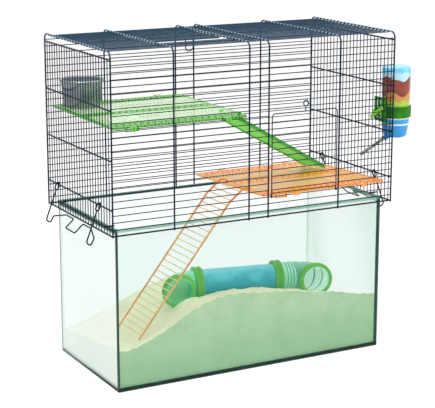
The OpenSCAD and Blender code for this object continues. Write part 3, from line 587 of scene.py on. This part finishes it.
def heapHeight(x, y):
    t = y / sand["depth"] + 0.5
    shallow = ease((x - sand["shallowFrom"]) / sand["shallowWidth"])
    dip = sand["dip"] - (sand["dip"] - sand["shallow"]) * shallow
    z = (1 - t) * heapEdge(x, sand["front"]) + t * heapEdge(x, sand["back"])
    z -= dip * math.sin(math.pi * t) * ease((x / sand["length"] + 0.5) * 8)
    z += sand["mound"] * math.exp(-((x - sand["moundX"]) ** 2 + (y - sand["moundY"]) ** 2) / sand["moundSpread"])
    gap, room = tubeRoom(x, y)
    room += sand["tubeGap"]
    if gap < room:
        z = min(z, tubes["z"] - math.sqrt(room * room - gap * gap))
    return z


# a ragged line along the front plate, soft rolls behind it, still along the other plates
def ripple(x, y):
    inside = ease((sand["halfX"] - abs(x)) / sand["steady"]) * ease((sand["halfY"] - y) / sand["steady"])
    crest = ease((y + sand["halfY"]) / sand["crest"])
    ragged = math.sin(88 * x + 1) * math.sin(146 * x + 30 * y) * sand["ragged"]
    ragged += math.sin(330 * x + 2 + 50 * y) * sand["raggedFine"]
    rolling = sum(high * math.sin(a * x + b * y) * math.sin(c * x + d * y) for high, a, b, c, d in sand["rolling"])
    return inside * (ragged * (1 - crest) + rolling * crest - sand["sink"])


deselect()
bpy.ops.mesh.primitive_grid_add(x_subdivisions=sand["cellsX"], y_subdivisions=sand["cellsY"], size=1)
heap = bpy.context.object
heap.scale = (2 * sand["halfX"], 2 * sand["halfY"], 1)
bpy.ops.object.transform_apply(scale=True)
for v in heap.data.vertices:
    v.co.z = heapHeight(v.co.x, v.co.y) + ripple(v.co.x, v.co.y)
bpy.ops.object.mode_set(mode="EDIT")
bpy.ops.mesh.select_mode(type="EDGE")
bpy.ops.mesh.select_all(action="DESELECT")
bpy.ops.mesh.select_non_manifold()
bpy.ops.mesh.extrude_region_move(TRANSFORM_OT_translate={"value": (0, 0, -0.01)})
bpy.ops.transform.resize(value=(1, 1, 0), center_override=(0, 0, sand["floor"]))  # flat on the bottom plate
bpy.ops.mesh.edge_face_add()
bpy.ops.mesh.select_all(action="SELECT")
bpy.ops.mesh.normals_make_consistent(inside=False)
bpy.ops.object.mode_set(mode="OBJECT")
keep("sandHeap", looseSand(), "tank", "sand_bed", 40)
print("sand poured")

# rings of the play tubes: two rounded lips on the joints, one on the mouths
rings = {"jointLength": 0.018, "mouthLength": 0.012, "lip": 0.0036, "valley": 0.0028, "valleyHalf": 0.0012,
         "mouthGap": 0.0001}
lime = mouldedPlastic("lime ring plastic", paint(74, 158, 0), paint(112, 198, 0), 0.4, 0.0)


def tubePoint(along, over):
    c, s = math.cos(tubes["turn"]), math.sin(tubes["turn"])
    return (tubes["x"] + along * c - over * s, tubes["y"] + along * s + over * c, tubes["z"])


def ringOutline(length, lips):
    inner, outer, lip, half = tubes["wall"], tubes["ring"], rings["lip"], length / 2
    points = [(inner, -half), (outer - lip, -half)]
    if lips == 2:
        valley = outer - rings["valley"]
        points += corner(outer - lip, lip - half, lip, -90, 60)
        points += [(valley, -rings["valleyHalf"]), (valley, rings["valleyHalf"])]
        points += corner(outer - lip, half - lip, lip, -60, 90)
    else:
        points += corner(outer - lip, lip - half, lip, -90, 0) + corner(outer - lip, half - lip, lip, 0, 90)
    return points + [(inner, half)]


def fitRing(node, outline, place, yaw):
    spin(outline, place, (0, math.pi / 2, yaw))
    keep(node.replace("_ring", "_collar"), lime, "tank", node)


for node, along in (("left_joint_ring", -tubes["joint"]), ("right_joint_ring", tubes["joint"])):
    fitRing(node, ringOutline(rings["jointLength"], 2), tubePoint(along, 0), tubes["turn"])
mouthOver = -tubes["bend"] - rings["mouthGap"] - rings["mouthLength"] / 2
for node, along in (("left_mouth_ring", tubes["left"] - tubes["bend"]),
                    ("right_mouth_ring", tubes["right"] + tubes["bend"])):
    fitRing(node, ringOutline(rings["mouthLength"], 1), tubePoint(along, mouthOver), tubes["turn"] - math.pi / 2)
print("tube rings fitted")

# bowl, spun from sheet with a hollow foot and a rolled lip
bowl = {"x": -0.260, "y": 0.101, "z": 0.5222, "top": 0.042, "foot": 0.0378, "height": 0.056, "wall": 0.0015,
        "lip": 0.003, "lipFoot": 0.004, "hollow": 0.0012, "hollowEdge": 0.009, "standing": 0.007,
        "footRound": 0.004, "innerRound": 0.005, "levels": (0.012, 0.022, 0.032, 0.042),
        "bands": ((0.05, paint(142, 152, 148)), (0.5, paint(124, 134, 136)), (0.8, paint(150, 158, 162)),
                  (0.95, paint(156, 164, 166))), "inside": paint(168, 178, 178)}


def bowlSteel():
    f = Finish("spun steel")
    x, y, z = f.axes()
    rise = (z - bowl["z"]) / bowl["height"]
    radius = (x - bowl["x"]).reach(y - bowl["y"])
    inner = radius < rise * (bowl["top"] - bowl["foot"]) + bowl["foot"] - bowl["wall"] / 2
    ring = f.noise(2.0, 3, 0.5, f.add("ShaderNodeCombineXYZ", None, {2: z * 400}))
    colour = f.mix(inner, f.ramp(rise + ring * 0.06, *bowl["bands"]), bowl["inside"])
    return f.wear(Base_Color=colour, Metallic=1.0 - inner * 0.6, Roughness=0.16 + ring * 0.12,
                  Normal=f.bump(ring, 0.08, 0.0003))


def bowlOutline():
    foot, top, wall, lip = bowl["foot"], bowl["top"], bowl["wall"], bowl["lip"]
    rise, r, inset = bowl["height"] - lip, bowl["footRound"], bowl["innerRound"] + wall
    slope = (top - foot) / rise
    outer = [(0, bowl["hollow"]), (foot - bowl["hollowEdge"], bowl["hollow"]), (foot - bowl["standing"], 0)]
    outer += corner(foot - r, r, r, -90, -8)
    outer += [(foot + slope * z, z) for z in bowl["levels"] + (rise - lip,)]
    rolled = corner(top, rise, lip, -60, 180, 10)
    inner = [(top - wall, rise - bowl["lipFoot"])]
    inner += [(foot - wall + slope * z, z) for z in reversed(bowl["levels"])]
    inner += corner(foot - inset, inset, bowl["innerRound"], -8, -90) + [(0, wall + bowl["hollow"])]
    return outer + rolled + inner


spin(bowlOutline(), (bowl["x"], bowl["y"], bowl["z"]), steps=80, closed=False)
keep("steelBowl", bowlSteel(), "bowl", "feeding_bowl", 50)
print("bowl spun")

# drink bottle: hills and sky printed round it, plain white and blue bands below the belt
# each line of hills has its waves (turns, shift, height), its level and how soft it is
drink = {"x": 0.356, "y": -0.10795, "cupMiddle": 0.454,
         "farHills": (((3.0, 0.6, 0.035), (7.0, 0.0, 0.015)), 0.79, 0.01),
         "nearHills": (((4.0, 2.0, 0.045),), 0.52, 0.01),
         "grassLine": (((9.0, 0.0, 0.02),), 0.4, 0.008),
         "whiteBand": (0.2, 0.205), "blueBand": (0.078, 0.083), "haze": (0.86, 0.95),
         "sky": (paint(186, 230, 248), paint(104, 204, 246)), "far": (paint(126, 40, 8), paint(160, 62, 18)),
         "near": paint(208, 142, 58), "grass": paint(166, 206, 54), "white": paint(240, 248, 252),
         "blue": paint(40, 160, 224), "spout": (paint(84, 88, 80), paint(158, 162, 152))}


# 1 above a line of hills round the bottle
def hillLine(rise, angle, waves, level, soft):
    for turns, shift, high in waves:
        rise = rise + (angle * turns + shift).sine() * high
    return rise.step(level, level + soft)


def bottlePrint(low, high):
    f = Finish("printed bottle")
    x, y, z = f.axes()
    angle = (y - drink["y"]).maths("ARCTAN2", x - drink["x"])
    rise = (z - low) / (high - low)
    far, near, grass = (hillLine(rise, angle, *drink[line]) for line in ("farHills", "nearHills", "grassLine"))
    cloud = f.noise(45, 2)
    sky = f.mix((rise + (cloud - 0.5) * 0.16).step(*drink["haze"]), *drink["sky"])
    farDark, farLight = drink["far"]
    colour = f.mix(far, f.ramp(cloud, (0.35, farDark), (0.65, farLight)), sky)
    colour = f.mix(near, drink["near"], colour)
    colour = f.mix(grass, drink["grass"], colour)
    colour = f.mix(rise.step(*drink["whiteBand"]), drink["white"], colour)
    colour = f.mix(rise.step(*drink["blueBand"]), drink["blue"], colour)
    return f.wear(Base_Color=colour, Roughness=0.2 + cloud * 0.1, Coat_Weight=0.5)


def spoutSteel():
    f = Finish("spout steel")
    cloud = f.noise(120, 3)
    return f.wear(Base_Color=f.fade(cloud, *drink["spout"]), Metallic=1.0, Roughness=0.2 + cloud * 0.12)


bottleLow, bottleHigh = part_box("bottle")
dress(bottlePrint(bottleLow.z, bottleHigh.z), "bottle")
dress(clearPlastic("blue cup", paint(0, 128, 206), paint(4, 148, 222), paint(40, 168, 232), drink["cupMiddle"],
                   0.92, 0.02), "cup_cap")
dress(mouldedPlastic("white seal", paint(226, 230, 230), paint(244, 246, 246), 0.28, 0.25), "sealing_ring")
dress(spoutSteel(), "spout_tube", "spout_ball")
print("bottle printed")

# holder: a ribbed belt, a slotted plate on the wires and the lever that locks it from inside
holder = {"beltLow": 0.4823, "beltHigh": 0.5063, "inside": 0.0294, "draft": 0.0002, "ribs": 5, "valley": 0.0315,
          "crest": 0.0324, "ribFoot": 0.44, "ribTop": 0.24,
          "lugX": (0.0314, 0.0364), "lugHalf": 0.006, "lugZ": (0.0072, 0.0168), "lugSoft": 0.0012,
          "neckEnd": 0.0303, "neckHalf": 0.011, "neckTrim": 0.003, "neckSoft": 0.001,
          "plateX": (0.31275, 0.31615), "plateY": (-0.13495, -0.09295), "plateZ": (0.4763, 0.5263), "slots": 3,
          "slot": 0.0055, "barTrim": 0.002, "crossBar": 0.006, "crossTrim": 0.0002, "barSoft": 0.0006,
          "postY": 0.0127, "postHalf": 0.003, "postSoft": 0.0005, "overlap": 0.001,
          "leverX": (0.30785, 0.31055), "leverLength": 0.05, "leverHeight": 0.0085, "leverTurn": -31,
          "leverSoft": 0.001, "leverMargin": 0.0001,
          "belt": (paint(18, 104, 0), paint(46, 142, 4)), "lever": (paint(92, 176, 34), paint(124, 204, 60))}


# strong green for the belt and its plate, lighter on the lever inside the wires
def holderPlastic():
    f = Finish("green holder plastic")
    x, = f.axes("X")
    cloud = f.noise(50, 3)
    onLever = x < holder["leverX"][1] + holder["leverMargin"]
    colour = f.mix(onLever, f.fade(cloud, *holder["belt"]), f.fade(cloud, *holder["lever"]))
    return f.wear(Base_Color=colour, Roughness=0.34 + cloud * 0.12, Specular_IOR_Level=0.25, Normal=f.skin())


def beltOutline():
    h = holder
    high = h["beltHigh"] - h["beltLow"]
    pitch = high / h["ribs"]
    foot, top = h["ribFoot"] * pitch, h["ribTop"] * pitch
    points = [(h["inside"], 0)]
    for k in range(h["ribs"]):
        z = (k + 0.5) * pitch
        points += [(h["valley"], z - foot), (h["crest"], z - top), (h["crest"], z + top), (h["valley"], z + foot)]
    return points + [(h["inside"] + h["draft"], high)]


def holderParts():
    h, x, y = holder, drink["x"], drink["y"]
    z0, z1 = (h["beltLow"] + z for z in h["lugZ"])
    (x0, x1), (y0, y1), (low, high) = h["plateX"], h["plateY"], h["plateZ"]
    yield spin(beltOutline(), (x, y, h["beltLow"]))
    yield block((x + h["lugX"][0], y - h["lugHalf"], z0), (x + h["lugX"][1], y + h["lugHalf"], z1), h["lugSoft"], 3)
    yield block((x1 - h["overlap"], y - h["neckHalf"], h["beltLow"] + h["neckTrim"]),
                (x - h["neckEnd"], y + h["neckHalf"], h["beltHigh"] - h["neckTrim"]), h["neckSoft"])
    bar = (y1 - y0 - h["slots"] * h["slot"]) / (h["slots"] + 1)
    for k in range(h["slots"] + 1):
        side = y0 + k * (bar + h["slot"])
        yield block((x0, side, low + h["barTrim"]), (x1, side + bar, high - h["barTrim"]), h["barSoft"])
    cross, trim = h["crossBar"], h["crossTrim"]
    for z in (low, (low + high - cross) / 2, high - cross):
        yield block((x0 + trim, y0 + trim, z), (x1 - trim, y1 - trim, z + cross), h["barSoft"])
    for post in (y - h["postY"], y + h["postY"]):
        yield block((h["leverX"][1] - h["overlap"], post - h["postHalf"], z0),
                    (x0 + h["overlap"], post + h["postHalf"], z1), h["postSoft"])
    a, b = h["leverLength"] / 2, h["leverHeight"] / 2
    lever = block((h["leverX"][0], -a, -b), (h["leverX"][1], a, b), h["leverSoft"], 3)
    lever.location.y, lever.location.z = y, (z0 + z1) / 2
    lever.rotation_euler.x = math.radians(h["leverTurn"])
    yield lever


join(list(holderParts()))
keep("bottleBelt", holderPlastic(), "cage", "bottle_holder")
print("holder clipped on")

# stage: white floor, soft lamps and the camera
stage = {"floor": 6.0, "drop": 0.0002, "bounce": 0.8, "glow": 0.84, "grey": 0.24, "air": 0.62, "aim": (0, 0, 0.32)}
lamps = {"key": {"at": (-1.2, -1.6, 2.4), "size": 1.6, "watts": 42},
         "fill": {"at": (1.9, -1.2, 1.6), "size": 1.8, "watts": 20},
         "top": {"at": (0.2, 0.9, 2.4), "size": 2.0, "watts": 26}}
view = {"at": (-1.4113, -2.6069, 1.0251), "yaw": 28.32, "pitch": 13.53, "focal": 1478.8, "width": 435, "sensor": 36,
        "far": 50}


# glows white where it is looked at, lights the piece as a plain floor does
def floorWhite():
    f = Finish("studio floor")
    plain = f.add("ShaderNodeBsdfDiffuse", None, {"Color": (stage["bounce"],) * 3 + (1,)})
    glow = f.add("ShaderNodeEmission", None, {"Color": (1, 1, 1, 1), "Strength": stage["glow"]})
    shade = f.add("ShaderNodeBsdfDiffuse", None, {"Color": (stage["grey"],) * 3 + (1,)})
    bright = f.add("ShaderNodeAddShader", None, {0: glow, 1: shade})
    both = f.add("ShaderNodeMixShader", None, {0: f.seen(), 1: plain, 2: bright})
    f.tree.links.new(both.out, f.tree.nodes["Material Output"].inputs["Surface"])
    return f.mat


deselect()
bpy.ops.mesh.primitive_plane_add(size=stage["floor"], location=(0, 0, -stage["drop"]))
floor = bpy.context.object
floor.name = "studioFloor"
floor.data.materials.append(floorWhite())
floor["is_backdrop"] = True

world = bpy.data.worlds.new("studio")
bpy.context.scene.world = world
air = Finish("studio air", world)
background = air.tree.nodes["Background"]
background.inputs["Color"].default_value = (1, 1, 1, 1)
air.tree.links.new((stage["air"] + air.seen() * (1 - stage["air"])).out, background.inputs["Strength"])

for name, lamp in lamps.items():
    bpy.ops.object.light_add(type="AREA", location=lamp["at"])
    light = bpy.context.object
    light.name = name + "Lamp"
    light.data.size = lamp["size"]
    light.data.energy = lamp["watts"]
    aim = Vector(stage["aim"]) - Vector(lamp["at"])
    light.rotation_euler = aim.to_track_quat("-Z", "Y").to_euler()

yaw, pitch = math.radians(view["yaw"]), math.radians(view["pitch"])
ahead = Vector((math.sin(yaw) * math.cos(pitch), math.cos(yaw) * math.cos(pitch), -math.sin(pitch)))
bpy.ops.object.camera_add(location=view["at"], rotation=ahead.to_track_quat("-Z", "Y").to_euler())
camera = bpy.context.object
camera.data.sensor_fit = "HORIZONTAL"
camera.data.sensor_width = view["sensor"]
camera.data.lens = view["focal"] / view["width"] * view["sensor"]
camera.data.clip_end = view["far"]
bpy.context.scene.camera = camera
bpy.context.scene.view_settings.view_transform = "Standard"
print("stage lit")

deselect()
low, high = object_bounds()
